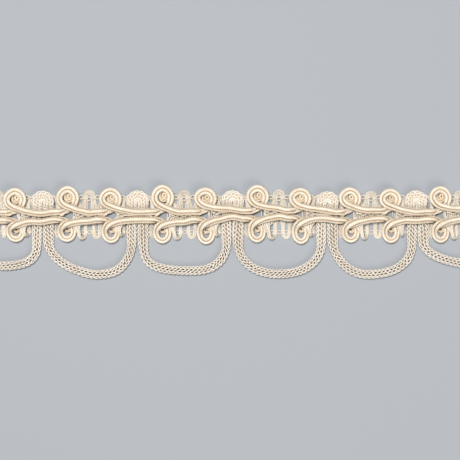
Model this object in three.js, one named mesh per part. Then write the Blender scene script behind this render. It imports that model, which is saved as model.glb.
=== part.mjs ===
// A cut length of gimp braid trim, lying face up on a flat surface.
// Units are millimetres. +X runs along the trim, +Y towards its domed top edge, +Z up from the surface.
// The origin is the centre of the trim's outline, on the surface that it lies on.
//
// Four cords make the braid. A flat gimp yarn zigzags across the heading and loops out at both edges.
// A knitted cord goes up through the heading in pairs of legs, turns over in a dome at the top edge and
// hangs in a deep scallop between the pairs. Two satin cords of three strands each lie on top in rows of
// scrolls: each scroll's tail dives under the next scroll's sweep and comes up round its far side.

import * as THREE from "three";

// The trim's cut ends, and a shift that puts the outline's centre at the origin.
const LEFT_END = -76;
const RIGHT_END = 76;
const OUTLINE_SHIFT = { x: 0, y: -0.115 };

// Knitted cord: half widths and half thicknesses in the heading's legs, the scallops and the domes.
const KNIT = { legWide: 1.66, legThick: 1.08, loopWide: 1.46, loopThick: 1.42, domeWide: 1.84, domeThick: 1.05 };
const LEG_SPREAD = 1.95;
const LEG_FOOT_Y = -3.6;
const DOME = { centreY: 9.4, radius: 2.06, lift: 1.2, liftAboveRow: 1.1, liftOver: 2.1 };

// Gimp yarn: half widths in the top loops, the bottom loops and the patches over the lower scrolls.
const GIMP = { topWide: 0.7, footWide: 0.57, patchWide: 0.95, thick: 0.34 };

// Satin cord: one strand's diameter, and how far each strand's centre lies from the cord's centre line.
const STRAND = 1.1;
const STRAND_OFF_CENTRE = STRAND / Math.sqrt(3);
const SWEEP_HEIGHT = 3.5;
const SWEEP_TURN = 12;

// How finely the cords are stepped: the longest step in mm, and the largest turn per step in degrees.
const STEPS = {
  knit: { length: 4.5, turn: 17 },
  gimp: { length: 4.6, turn: 36 },
  satin: { length: 3.3, turn: 33 },
};

// The domes: x is the slit between a pair of knitted legs, rise the dome's height against the usual one.
const PAIRS = [
  { x: -60.7, rise: 0.0 },
  { x: -30.3, rise: 0.05 },
  { x: 0.3, rise: 0.1 },
  { x: 30.6, rise: -0.2 },
  { x: 59.35, rise: 0.1 },
];

// The scallops from left to right: the centre line's depth under y = 0, how boxy the curve is (2 is an
// ellipse), and how far the lowest point leans to the right.
const SCALLOPS = [
  { deep: 10.95, boxy: 3.2, lean: 0.0 },
  { deep: 13.8, boxy: 2.15, lean: 2.2 },
  { deep: 12.65, boxy: 2.75, lean: 0.8 },
  { deep: 13.6, boxy: 2.45, lean: -0.6 },
  { deep: 13.7, boxy: 2.4, lean: -1.4 },
  { deep: 10.6, boxy: 2.1, lean: 3.2 },
];

// The two rows of scrolls wander a little: each satin cord's y where it sweeps between its curls.
const ROWS = [
  { x: -76.0, upper: 6.3, lower: 3.7 },
  { x: -60.7, upper: 6.25, lower: 3.65 },
  { x: -45.4, upper: 6.35, lower: 3.75 },
  { x: -30.3, upper: 6.3, lower: 3.65 },
  { x: -15.0, upper: 6.35, lower: 3.75 },
  { x: 0.3, upper: 7.35, lower: 4.75 },
  { x: 14.8, upper: 7.35, lower: 4.75 },
  { x: 30.6, upper: 6.5, lower: 3.9 },
  { x: 44.4, upper: 6.85, lower: 4.25 },
  { x: 59.5, upper: 6.3, lower: 3.7 },
  { x: 73.5, upper: 7.3, lower: 4.7 },
  { x: 76.0, upper: 7.3, lower: 4.7 },
];

// The scrolls from left to right: the upper curl's x and height above its row, the lower curl's x and
// depth below its row.
const CURLS = [
  { x: -69.4, tall: 6.65, lowX: -69.2, deep: 6.0 },
  { x: -52.5, tall: 7.3, lowX: -52.8, deep: 6.0 },
  { x: -38.8, tall: 6.7, lowX: -38.7, deep: 6.4 },
  { x: -22.1, tall: 7.7, lowX: -22.2, deep: 6.5 },
  { x: -8.4, tall: 6.3, lowX: -8.2, deep: 6.95 },
  { x: 8.3, tall: 6.6, lowX: 8.1, deep: 7.2 },
  { x: 21.9, tall: 6.0, lowX: 22.2, deep: 7.3 },
  { x: 37.9, tall: 6.5, lowX: 38.2, deep: 6.55 },
  { x: 50.8, tall: 6.2, lowX: 51.1, deep: 6.75 },
  { x: 66.8, tall: 6.8, lowX: 67.0, deep: 6.8 },
];

// One upper scroll in path order, from the tail round the curl to the sweep. x is from the curl's centre,
// out is away from the row's middle as a share of the curl's height, z the height above the surface,
// turn the cord's twist in degrees, and size how full the cord is.
const UPPER_SCROLL = [
  { x: -4.6, out: 0.0, z: 3.5, turn: 12, size: 1.0 },
  { x: -2.9, out: 0.0, z: 3.1, turn: 20, size: 0.98 },
  { x: -1.5, out: 0.02, z: 2.15, turn: 40, size: 0.9 },
  { x: 0.1, out: 0.07, z: 1.36, turn: 60, size: 0.84 },
  { x: 1.4, out: 0.22, z: 1.62, turn: 60, size: 0.86 },
  { x: 2.15, out: 0.41, z: 2.25, turn: 60, size: 0.94 },
  { x: 2.42, out: 0.64, z: 2.45, turn: 60, size: 1.0 },
  { x: 1.6, out: 0.88, z: 2.4, turn: 60, size: 1.0 },
  { x: -0.1, out: 1.0, z: 2.45, turn: 60, size: 1.0 },
  { x: -1.8, out: 0.89, z: 2.7, turn: 60, size: 1.0 },
  { x: -2.66, out: 0.66, z: 3.2, turn: 56, size: 1.0 },
  { x: -2.45, out: 0.46, z: 3.65, turn: 44, size: 1.0 },
  { x: -1.6, out: 0.29, z: 3.85, turn: 30, size: 1.0 },
  { x: -0.3, out: 0.16, z: 3.95, turn: 20, size: 1.0 },
  { x: 1.3, out: 0.07, z: 3.9, turn: 12, size: 1.0 },
  { x: 3.1, out: 0.01, z: 3.7, turn: 12, size: 1.0 },
  { x: 4.7, out: 0.0, z: 3.55, turn: 12, size: 1.0 },
];

// One lower scroll in the same way. Its right side lies low, under the gimp yarn's patch.
const LOWER_SCROLL = [
  { x: -4.4, out: 0.0, z: 3.5, turn: 12, size: 1.0 },
  { x: -2.9, out: 0.0, z: 3.05, turn: 6, size: 0.98 },
  { x: -1.5, out: 0.02, z: 2.1, turn: -20, size: 0.88 },
  { x: -0.1, out: 0.08, z: 1.3, turn: -50, size: 0.8 },
  { x: 1.1, out: 0.24, z: 1.15, turn: -60, size: 0.78 },
  { x: 1.78, out: 0.46, z: 1.05, turn: -60, size: 0.8 },
  { x: 1.85, out: 0.7, z: 1.08, turn: -60, size: 0.84 },
  { x: 1.25, out: 0.9, z: 1.25, turn: -60, size: 0.88 },
  { x: -0.1, out: 1.0, z: 1.6, turn: -60, size: 0.9 },
  { x: -1.45, out: 0.9, z: 2.0, turn: -60, size: 0.9 },
  { x: -2.1, out: 0.68, z: 2.4, turn: -56, size: 0.9 },
  { x: -2.05, out: 0.47, z: 3.0, turn: -44, size: 0.92 },
  { x: -1.4, out: 0.28, z: 3.65, turn: -30, size: 0.95 },
  { x: -0.3, out: 0.14, z: 3.9, turn: -12, size: 1.0 },
  { x: 1.1, out: 0.05, z: 3.95, turn: 4, size: 1.0 },
  { x: 2.7, out: 0.01, z: 3.85, turn: 12, size: 1.0 },
  { x: 4.4, out: 0.0, z: 3.65, turn: 12, size: 1.0 },
];

// The gimp yarn's eight legs in one repeat, by where each stands from its anchor at four heights across
// the heading, and by how high it lies there. Legs c and g climb over the lower scrolls.
const LEG_LEVELS = { foot: -0.5, low: 2.3, middle: 5.1, head: 8.9 };
const LEGS = [
  { name: "a", anchor: "pair", foot: 4.75, low: 4.7, middle: 4.6, head: 4.6, lift: 0 },
  { name: "b", anchor: "firstCurl", foot: -2.3, low: -2.2, middle: -2.5, head: -2.6, lift: 0 },
  { name: "c", anchor: "firstCurl", foot: 3.6, low: 3.0, middle: 3.6, head: 2.95, lift: 1 },
  { name: "d", anchor: "middle", foot: -1.2, low: -1.2, middle: -1.15, head: -1.15, lift: 0 },
  { name: "e", anchor: "middle", foot: 1.5, low: 1.4, middle: 1.3, head: 1.25, lift: 0 },
  { name: "f", anchor: "secondCurl", foot: -3.75, low: -3.6, middle: -3.4, head: -3.0, lift: 0 },
  { name: "g", anchor: "secondCurl", foot: 2.85, low: 2.6, middle: 3.1, head: 2.75, lift: 1 },
  { name: "h", anchor: "nextPair", foot: -4.6, low: -4.6, middle: -4.55, head: -4.55, lift: 0 },
];
const PATCH_HEIGHT = { foot: 2.6, low: 2.3, middle: 1.05, head: 0 };

// The turns between those legs, at their outermost points on the centre line.
const TURNS = { ab: -1.15, bc: 12.0, cd: -1.95, de: 12.75, ef: -1.8, fg: 12.0, gh: -0.95, ha: 11.7 };

// The repeats, by the x of what each leg is measured from, and each narrow top loop's extra height.
const REPEATS = [
  { pair: null, firstCurl: null, middle: -75.0, secondCurl: -69.4, nextPair: -60.7, rise: 0.0 },
  { pair: -60.7, firstCurl: -52.6, middle: -45.9, secondCurl: -38.8, nextPair: -30.3, rise: 0.1 },
  { pair: -30.3, firstCurl: -22.1, middle: -15.4, secondCurl: -8.2, nextPair: 0.3, rise: 0.0 },
  { pair: 0.3, firstCurl: 8.2, middle: 15.0, secondCurl: 22.1, nextPair: 30.6, rise: 0.2 },
  { pair: 30.6, firstCurl: 38.0, middle: 44.6, secondCurl: 50.95, nextPair: 59.5, rise: -0.3 },
  { pair: 59.5, firstCurl: 66.9, middle: 73.3, secondCurl: null, nextPair: null, rise: 0.0 },
];

const COLOURS = { knit: "#efe6d6", satin: "#eadbbd", satinLower: "#ecdfc5", gimp: "#f1e9da" };

const radians = (degrees) => (degrees * Math.PI) / 180;

function smoothStep(from, to, value) {
  const share = Math.min(1, Math.max(0, (value - from) / (to - from)));
  return share * share * (3 - 2 * share);
}

// Reads one column of a table at any x between its rows.
function lookUp(table, column, x) {
  let last = table.length - 2;
  while (last > 0 && table[last].x > x) last -= 1;
  const left = table[last];
  const right = table[last + 1];
  return left[column] + (right[column] - left[column]) * smoothStep(left.x, right.x, x);
}

// A smooth curve through rows of numbers, whose first three are x, y and z. Each stretch is a cubic with
// slopes taken from both neighbours, and is cut into the given number of parts.
function smoothRows(rows, parts) {
  const gaps = rows.slice(1).map((row, i) => {
    const back = rows[i];
    return Math.hypot(row[0] - back[0], row[1] - back[1], row[2] - back[2]);
  });
  const slope = (i, k) => {
    if (i === 0) return (rows[1][k] - rows[0][k]) / gaps[0];
    if (i === rows.length - 1) return (rows[i][k] - rows[i - 1][k]) / gaps[i - 1];
    const before = (rows[i][k] - rows[i - 1][k]) / gaps[i - 1];
    const after = (rows[i + 1][k] - rows[i][k]) / gaps[i];
    return (before * gaps[i] + after * gaps[i - 1]) / (gaps[i] + gaps[i - 1]);
  };
  const fine = [];
  for (let i = 0; i < rows.length - 1; i += 1) {
    for (let j = 0; j < parts; j += 1) {
      const t = j / parts;
      const start = 2 * t ** 3 - 3 * t ** 2 + 1;
      const startSlope = t ** 3 - 2 * t ** 2 + t;
      const end = 3 * t ** 2 - 2 * t ** 3;
      const endSlope = t ** 3 - t ** 2;
      fine.push(rows[i].map((value, k) =>
        start * value + end * rows[i + 1][k]
          + gaps[i] * (startSlope * slope(i, k) + endSlope * slope(i + 1, k))));
    }
  }
  fine.push([...rows[rows.length - 1]]);
  return fine;
}

// Picks evenly shared rings from a fine curve, closer together where it bends.
function spaceRings(fine, steps) {
  const measure = [0];
  for (let i = 1; i < fine.length; i += 1) {
    const step = Math.hypot(...[0, 1, 2].map((k) => fine[i][k] - fine[i - 1][k]));
    let bend = 0;
    if (i < fine.length - 1) {
      const here = new THREE.Vector3(...[0, 1, 2].map((k) => fine[i][k] - fine[i - 1][k]));
      const next = new THREE.Vector3(...[0, 1, 2].map((k) => fine[i + 1][k] - fine[i][k]));
      bend = here.angleTo(next) * 180 / Math.PI;
    }
    measure.push(measure[i - 1] + step / steps.length + bend / steps.turn);
  }
  const total = measure[measure.length - 1];
  const count = Math.ceil(total);
  const rings = [];
  let at = 0;
  for (let n = 0; n <= count; n += 1) {
    const wanted = (total * n) / count;
    while (at < fine.length - 2 && measure[at + 1] < wanted) at += 1;
    const share = Math.min(1, (wanted - measure[at]) / (measure[at + 1] - measure[at]));
    rings.push(fine[at].map((value, k) => value + share * (fine[at + 1][k] - value)));
  }
  return rings;
}

// A closed body swept through the rings. outline(ring) gives the section's points as [across, up], where
// across is level and square to the path, to the right of its heading. The ends are cut flat.
function sweepBody(rings, outline) {
  const positions = [];
  const index = [];
  let sides = 0;
  rings.forEach((ring, i) => {
    const before = rings[Math.max(0, i - 1)];
    const after = rings[Math.min(rings.length - 1, i + 1)];
    const back = new THREE.Vector3(ring[0] - before[0], ring[1] - before[1], ring[2] - before[2]);
    const ahead = new THREE.Vector3(after[0] - ring[0], after[1] - ring[1], after[2] - ring[2]);
    const heading = new THREE.Vector3();
    if (back.length() > 0) heading.add(back.normalize());
    if (ahead.length() > 0) heading.add(ahead.normalize());
    if (i === 0 || i === rings.length - 1) heading.set(1, 0, 0);
    heading.normalize();
    const across = new THREE.Vector3().crossVectors(heading, new THREE.Vector3(0, 0, 1)).normalize();
    const up = new THREE.Vector3().crossVectors(across, heading);
    const points = outline(ring);
    sides = points.length;
    for (const [side, rise] of points) {
      positions.push(
        ring[0] + across.x * side + up.x * rise - OUTLINE_SHIFT.x,
        ring[1] + across.y * side + up.y * rise - OUTLINE_SHIFT.y,
        ring[2] + across.z * side + up.z * rise,
      );
    }
  });
  for (let i = 0; i < rings.length - 1; i += 1) {
    for (let k = 0; k < sides; k += 1) {
      const next = (k + 1) % sides;
      const a = i * sides + k;
      const b = i * sides + next;
      const c = (i + 1) * sides + next;
      const d = (i + 1) * sides + k;
      index.push(a, c, b, a, d, c);
    }
  }
  for (const end of [0, rings.length - 1]) {
    const centre = positions.length / 3;
    positions.push(
      rings[end][0] - OUTLINE_SHIFT.x,
      rings[end][1] - OUTLINE_SHIFT.y,
      rings[end][2],
    );
    for (let k = 0; k < sides; k += 1) {
      const a = end * sides + k;
      const b = end * sides + ((k + 1) % sides);
      if (end === 0) index.push(centre, a, b);
      else index.push(centre, b, a);
    }
  }
  const geometry = new THREE.BufferGeometry();
  geometry.setAttribute("position", new THREE.Float32BufferAttribute(positions, 3));
  geometry.setIndex(index);
  geometry.computeVertexNormals();
  return geometry;
}

function makeMesh(name, geometry, colour, roughness) {
  const material = new THREE.MeshStandardMaterial({ color: colour, roughness, metalness: 0 });
  const mesh = new THREE.Mesh(geometry, material);
  mesh.name = name;
  return mesh;
}

// The knitted cord's centre line as [x, y, z, half width, half thickness].
function knittedPath() {
  const path = [];
  const add = (x, y) => {
    const inLoop = 1 - smoothStep(-6.5, -1.5, y);
    const inDome = smoothStep(8.4, 10.2, y);
    const thick = KNIT.legThick + (KNIT.loopThick - KNIT.legThick) * inLoop
      + (KNIT.domeThick - KNIT.legThick) * inDome;
    const wide = KNIT.legWide + (KNIT.loopWide - KNIT.legWide) * inLoop
      + (KNIT.domeWide - KNIT.legWide) * inDome;
    const foot = lookUp(ROWS, "upper", x) + DOME.liftAboveRow;
    path.push([x, y, thick + DOME.lift * smoothStep(foot, foot + DOME.liftOver, y), wide, thick]);
  };
  const scallop = (index, from, to) => {
    const row = SCALLOPS[index];
    const pitch = 30.4;
    const left = index === 0 ? PAIRS[0].x - pitch : PAIRS[index - 1].x;
    const right = index === PAIRS.length ? left + pitch : PAIRS[index].x;
    const middle = (left + right) / 2;
    const half = (right - left) / 2 - LEG_SPREAD;
    const curve = (angle) => {
      const across = -Math.cos(angle);
      const down = Math.sin(angle);
      const x = Math.sign(across) * Math.abs(across) ** (2 / row.boxy);
      const y = Math.abs(down) ** (2 / row.boxy);
      return [middle + half * x + row.lean * y * y * (1 - x * x), LEG_FOOT_Y - (row.deep + LEG_FOOT_Y) * y];
    };
    for (let n = 0; n <= 120; n += 1) {
      const [x, y] = curve(from + ((to - from) * n) / 120);
      if (x > LEFT_END && x < RIGHT_END) add(x, y);
    }
  };
  path.push([LEFT_END, -SCALLOPS[0].deep, KNIT.loopThick, KNIT.loopWide, KNIT.loopThick]);
  PAIRS.forEach((pair, i) => {
    scallop(i, i === 0 ? Math.PI / 2 + 0.01 : 0, Math.PI);
    const top = DOME.centreY + pair.rise;
    for (let n = 1; n < 40; n += 1) add(pair.x - LEG_SPREAD, LEG_FOOT_Y + ((top - LEG_FOOT_Y) * n) / 40);
    for (let n = 0; n <= 40; n += 1) {
      const angle = (Math.PI * n) / 40;
      const bulge = LEG_SPREAD + (DOME.radius - LEG_SPREAD) * Math.sin(angle);
      add(pair.x - bulge * Math.cos(angle), top + DOME.radius * Math.sin(angle));
    }
    for (let n = 1; n < 40; n += 1) add(pair.x + LEG_SPREAD, top + ((LEG_FOOT_Y - top) * n) / 40);
  });
  scallop(PAIRS.length, 0, Math.PI / 2 + 0.3);
  const last = path[path.length - 1];
  path.push([RIGHT_END, last[1] - 0.02, last[2], last[3], last[4]]);
  return path;
}

// A rounded section with level faces above and below.
function knittedOutline([, , , wide, thick]) {
  return [
    [wide, -0.4 * thick], [wide, 0.4 * thick], [0.52 * wide, thick], [-0.52 * wide, thick],
    [-wide, 0.4 * thick], [-wide, -0.4 * thick], [-0.52 * wide, -thick], [0.52 * wide, -thick],
  ];
}

// A satin cord's centre line as [x, y, z, turn, size]. side is 1 for the upper row, -1 for the lower.
function scrollPath(shape, side) {
  const column = side > 0 ? "upper" : "lower";
  const rows = [[LEFT_END, lookUp(ROWS, column, LEFT_END), SWEEP_HEIGHT, SWEEP_TURN, 1]];
  CURLS.forEach((curl, i) => {
    const centre = side > 0 ? curl.x : curl.lowX;
    const reach = side > 0 ? curl.tall : curl.deep;
    for (const step of shape) {
      const x = centre + step.x;
      rows.push([x, lookUp(ROWS, column, x) + side * reach * step.out, step.z, step.turn, step.size]);
    }
    const next = CURLS[i + 1];
    const end = next ? (side > 0 ? next.x : next.lowX) - 4.6 : RIGHT_END;
    const start = centre + 4.6;
    const pieces = next ? 2 : 1;
    for (let n = 1; n < pieces; n += 1) {
      const x = start + ((end - start) * n) / pieces;
      rows.push([x, lookUp(ROWS, column, x), SWEEP_HEIGHT, SWEEP_TURN, 1]);
    }
  });
  rows.push([RIGHT_END, lookUp(ROWS, column, RIGHT_END), SWEEP_HEIGHT, SWEEP_TURN, 1]);
  return smoothRows(rows, 12);
}

// Three strands side by side: three points round each strand, joined across the grooves between them.
function satinOutline([, , , turn, size]) {
  const points = [];
  for (const lobe of [90, 210, 330]) {
    const centre = radians(lobe + turn);
    for (const spread of [-78, 0, 78]) {
      const angle = centre + radians(spread);
      points.push([
        size * (STRAND_OFF_CENTRE * Math.cos(centre) + (STRAND / 2) * Math.cos(angle)),
        size * (STRAND_OFF_CENTRE * Math.sin(centre) + (STRAND / 2) * Math.sin(angle)),
      ]);
    }
  }
  return points;
}

// The gimp yarn's centre line as [x, y, z, half width]. It starts and ends in the middle of a loop.
function gimpPath() {
  const rows = [];
  const add = (x, y, lift, wide) => rows.push([x, y, GIMP.thick + lift, wide]);
  const levels = ["foot", "low", "middle", "head"];
  const leg = (repeat, row, goingUp) => {
    const order = goingUp ? levels : [...levels].reverse();
    for (const level of order) {
      const patch = row.lift > 0 && (level === "low" || level === "foot");
      const narrow = level === "foot" || level === "low" ? GIMP.footWide : GIMP.topWide;
      const wide = patch && level === "low" ? GIMP.patchWide : narrow;
      add(repeat[row.anchor] + row[level], LEG_LEVELS[level], row.lift * PATCH_HEIGHT[level], wide);
    }
  };
  const turn = (fromX, toX, farY, level, wide, fromLift, share = 1) => {
    const y = LEG_LEVELS[level];
    for (const angle of [35, 65, 90, 115, 145]) {
      if (angle > 180 * share) break;
      const x = (fromX + toX) / 2 - ((toX - fromX) / 2) * Math.cos(radians(angle));
      add(x, y + (farY - y) * Math.sin(radians(angle)), fromLift * smoothStep(170, 40, angle), wide);
    }
  };
  REPEATS.forEach((repeat, i) => {
    const foot = (row) => repeat[row.anchor] + row.foot;
    const head = (row) => repeat[row.anchor] + row.head;
    const [a, b, c, d, e, f, g, h] = LEGS;
    if (repeat.pair !== null) {
      leg(repeat, a, false);
      turn(foot(a), foot(b), TURNS.ab, "foot", GIMP.footWide, 0);
      leg(repeat, b, true);
      turn(head(b), head(c), TURNS.bc, "head", GIMP.topWide, 0);
      leg(repeat, c, false);
      turn(foot(c), foot(d), TURNS.cd, "foot", GIMP.footWide, PATCH_HEIGHT.foot);
      leg(repeat, d, true);
      turn(head(d), head(e), TURNS.de + repeat.rise, "head", GIMP.topWide, 0);
    } else {
      add(repeat.middle, TURNS.de, 0, GIMP.topWide);
      add(repeat.middle + 0.7, TURNS.de - 0.5, 0, GIMP.topWide);
    }
    leg(repeat, e, false);
    if (repeat.secondCurl === null) {
      turn(foot(e), foot(e) + 2.1, TURNS.ef, "foot", GIMP.footWide, 0, 0.5);
      return;
    }
    turn(foot(e), foot(f), TURNS.ef, "foot", GIMP.footWide, 0);
    leg(repeat, f, true);
    turn(head(f), head(g), TURNS.fg, "head", GIMP.topWide, 0);
    leg(repeat, g, false);
    turn(foot(g), foot(h), TURNS.gh, "foot", GIMP.footWide, PATCH_HEIGHT.foot);
    leg(repeat, h, true);
    const next = REPEATS[i + 1];
    turn(head(h), next.pair + a.head, TURNS.ha, "head", GIMP.topWide, 0);
  });
  const fine = smoothRows(rows, 6);
  for (const row of fine) row[2] = Math.max(row[2], GIMP.thick);
  return fine;
}

function gimpOutline([, , , wide]) {
  const thick = GIMP.thick;
  return [
    [wide, 0], [0.62 * wide, thick], [-0.62 * wide, thick],
    [-wide, 0], [-0.62 * wide, -thick], [0.62 * wide, -thick],
  ];
}

const gimpRings = spaceRings(gimpPath(), STEPS.gimp);
const knittedRings = spaceRings(knittedPath(), STEPS.knit);
const upperRings = spaceRings(scrollPath(UPPER_SCROLL, 1), STEPS.satin);
const lowerRings = spaceRings(scrollPath(LOWER_SCROLL, -1), STEPS.satin);

const trim = new THREE.Group();
trim.name = "gimp_braid_trim";
trim.add(makeMesh("gimp_yarn_ground", sweepBody(gimpRings, gimpOutline), COLOURS.gimp, 0.7));
trim.add(makeMesh("knitted_loop_cord", sweepBody(knittedRings, knittedOutline), COLOURS.knit, 0.85));
trim.add(makeMesh("upper_scroll_cord", sweepBody(upperRings, satinOutline), COLOURS.satin, 0.45));
trim.add(makeMesh("lower_scroll_cord", sweepBody(lowerRings, satinOutline), COLOURS.satinLower, 0.45));

export default trim;
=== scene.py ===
"""A cut length of gimp braid trim, lying face up on a pale surface and seen from straight above.

Lengths in the tables are millimetres, and MM turns them into the scene's metres. The tables have the
solids' driving sizes, with the scallops, the satin rows and a few loops set a little closer to the real
ones. The trim runs along X, its scrolled edge is towards +Y, and the deep scallops hang towards -Y. Each
cord is a path [x, y, z, ...] and a section carried along it.
"""

import math

import bpy
import numpy as np
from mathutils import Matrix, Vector


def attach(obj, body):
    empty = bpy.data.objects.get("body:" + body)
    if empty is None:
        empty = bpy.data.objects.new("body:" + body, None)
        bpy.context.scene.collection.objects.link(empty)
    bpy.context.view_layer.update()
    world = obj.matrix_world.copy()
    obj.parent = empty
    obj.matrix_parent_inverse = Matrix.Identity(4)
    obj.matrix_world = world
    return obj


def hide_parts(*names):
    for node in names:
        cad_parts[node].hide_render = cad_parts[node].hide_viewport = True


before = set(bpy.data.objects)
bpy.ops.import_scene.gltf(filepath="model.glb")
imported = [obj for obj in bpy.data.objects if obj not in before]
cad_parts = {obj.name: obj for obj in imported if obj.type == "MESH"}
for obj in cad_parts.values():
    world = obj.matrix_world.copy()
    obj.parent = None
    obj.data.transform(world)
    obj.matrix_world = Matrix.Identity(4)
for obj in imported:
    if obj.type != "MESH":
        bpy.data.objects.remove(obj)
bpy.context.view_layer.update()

MM = 0.001
rng = np.random.default_rng(7)

# Driving sizes, in millimetres

LEFT_END, RIGHT_END = -76.0, 76.0
# The frame's origin is the middle of the solids' outline, and the tables' origin lies here in it.
OUTLINE_SHIFT = np.array([0.0, 0.115, 0.0])

# The knitted cord: half widths and half thicknesses, half the distance between a pair's legs, where
# the legs start, the dome and its rise over the satin row, and the pitch of the pairs.
KNIT = dict(leg_wide=1.66, leg_thick=1.08, loop_wide=1.46, loop_thick=1.42, dome_wide=1.84, dome_thick=1.05)
LEG_SPREAD = 1.95
LEG_FOOT_Y = -3.6
DOME = dict(centre_y=9.4, radius=2.06, lift=1.2, lift_above_row=1.1, lift_over=2.1)
PITCH = 30.4
# The heights y between which the knitted cord changes: into the legs, the dome, the dome's closer
# stitches and the pair's lean, and where the slit and the right leg start and stop closing up.
KNIT_CHANGE = dict(legs=(-6.5, -1.5), dome=(8.4, 10.2), dome_stitches=(6.0, 8.2), lean=(3.0, 8.0),
                   slit=(5.5, 7.5), slit_stops=(11.0, 9.6), right_leg=(-6.5, -2.5),
                   right_leg_stops=(10.5, 8.0))
# How far the legs of a pair close up and widen: both of them at the slit, and the right one all along.
CLOSING = dict(slit=0.1, right_leg=0.2)
# The share of a scallop over which its left half's boxiness gives way to its right half's, the angles
# at which the braid's ends cut the first and the last scallop, and the last one's fall to the cut.
HALVES_MEET = (0.35, 0.65)
LEFT_CUT, RIGHT_CUT = math.pi / 2 + 0.01, math.pi / 2 + 0.3
LAST_FALL = 0.02
SCALLOP_POINTS, LEG_POINTS = 121, 41

# The gimp yarn's half widths and half thickness, its ends' half thickness and the middle end's rise, the
# spacing of their rings, their sides, and the parts between two rows of the yarn's path.
GIMP = dict(top_wide=0.7, foot_wide=0.57, patch_wide=0.95, thick=0.34, end_thick=0.3, crown=0.05,
            spacing=0.35, sides=8, parts=8)
# The gimp yarn's five ends, in quarters of its half width, and how much wider they lie: everywhere, in
# the top loops, under the satin cords, where the yarn is spread, in the foot loops and beside the domes.
GIMP_ENDS = (-1.6, -0.8, 0.0, 0.8, 1.6)
FAN = dict(usual=1.08, top=0.2, under=0.62, spread=0.5, foot=-0.1, by_dome=-0.4)
# An end's half width in quarters of the yarn's, and how much fuller it is in the same places.
END_WIDTH = dict(usual=0.84, under=0.45, spread=0.25, by_dome=-0.15)
# The heights y between which the fanning changes, and the distance from a pair at which it does.
FAN_CHANGE = dict(top=(11.2, 12.2), under=(2.0, 3.4), under_stops=(10.4, 7.9), foot=(3.2, 1.2),
                  by_dome=(3.0, 8.0))
DOME_SIDE = (6.2, 5.0)
# A turn between two legs: its angles in degrees, how square it is, and where a lifted yarn comes down.
GIMP_TURN = dict(angles=(35, 65, 90, 115, 145), head_square=0.52, foot_square=0.85, comes_down=(40, 170))
# The cut loops: the left end's step right and down from the loop's top, and the right end's width.
CUT_LOOP = dict(right=0.7, down=0.5, wide=2.1)

STRAND = 1.1
STRAND_OFF_CENTRE = STRAND / math.sqrt(3)
STRAND_LOBES = (90, 210, 330)
# A satin strand's spacing of rings, sides and fullness, the shares of its unevenness that go into its place
# and its fullness, where round a strand the painted shade between the strands comes in, how that painted
# shade fades where the cord turns, and the path's parts.
SATIN = dict(spacing=0.3, sides=14, full=1.04, aside=0.6, swells=0.25, painted_shade_range=(-0.7, 0.7), fades=0.45,
             fades_over=(20, 60), parts=12)
# Slow unevenness along strands and threads: each wave's height, length and step from strand to strand.
STRAND_WAVES = ((0.03, 3.1, 2.0), (0.02, 1.3, 1.0))
END_SWAYS = ((0.022, 2.3, 2.1), (0.015, 0.9, 1.0))
END_WAVES = ((0.02, 1.7, 3.0),)
CHAIN_WAVES = ((0.05, 0.9, 1.0),)
SWEEP_HEIGHT = 3.5
SWEEP_TURN = 12.0

# The knitted tube: wales round it, the rise of one course, the loop (in courses), sway (in wales), depth
# and yarn of a stitch, the yarn's flatness, the courses left free at the start and in all, and how far
# the stitches stand out past the cord's sizes.
STITCH = dict(wales=5, course=1.35, dome_course=0.95, loop=0.66, sway=0.235, depth=0.33, dome_depth=0.18,
              yarn=0.23, dome_yarn=0.29, flat=0.85, segments=12, sides=6, start=0.7, free=1.4,
              out_wide=0.12, out_thick=0.02)
# How unevenly the stitches are worked, and how the tube rolls to and fro along its length.
UNEVEN = dict(sway=0.1, loop=0.07, depth=0.02)
ROLL = dict(middle=0.25, swing=0.45, length=8.5)
# The knitted tube's loose inside, near-black as painted shade in the holes between stitches: how far it
# lies within the cord, and how pale it is in places.
CORE = dict(spacing=0.8, sides=12, within=0.42, dome_within=0.28, leg_pale=0.4, dome_pale=0.45,
            end=(RIGHT_END - 2.0, RIGHT_END - 0.5))
CORE_CHANGE = dict(leg=(-7.5, -3.0), dome=(5.5, 7.5))

# A sewn chain: its eye's half width and the distances over which the eye closes, the threads' winding
# to the side and up, the pitch of it, the spacing of its rings and how far it stops before the ends.
CHAIN = dict(eye=0.56, closes=(0.25, 0.95), wind=0.17, wind_up=0.15, pitch=1.4, spacing=0.15, stops=0.2)
THREAD_SIDES = 6
# The three chains: the place across the braid, with the top one's dips inside the middle loops and the
# middle one's bulges at the curls, the height above the surface and the half thickness of a thread.
FOOT_CHAIN = dict(y=-0.1, height=0.3, thread=0.16)
HEAD_CHAIN = dict(y=11.1, dip=0.55, dip_reach=1.6, height=0.9, thread=0.21)
MIDDLE_CHAIN = dict(above=0.3, bulge=1.5, bulge_at=0.4, bulge_reach=1.6, height=2.7, thread=0.17)
# The thread coiled in a curl: how far right of the curl's x it lies, its share of the way from the row to
# the curl's end, its height, half width, half length (in an upper curl a share of the curl's), turns and
# half thickness. After its first turn a coil narrows, moves aside and rises.
EYE_RIGHT = 0.1
COIL = dict(narrows=0.6, narrows_over=(1.7 * math.pi, 3.1 * math.pi), aside=0.3, rises=0.5, parts=30)
UPPER_EYE = dict(out=0.655, height=1.5, wide=1.3, tall=0.22, turns=2.3, thread=0.37)
LOWER_EYE = dict(out=0.5, height=1.2, wide=0.9, tall=0.85, turns=1.9, thread=0.22)
# The loose fibres right of each curl: how many, where, how far past the rows, how high and how aslant.
FIBRES = dict(count=6, right=(0.9, 3.4), below=3.6, above=0.6, height=0.6, arch=0.8, slant=0.1, thread=0.15)

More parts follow.
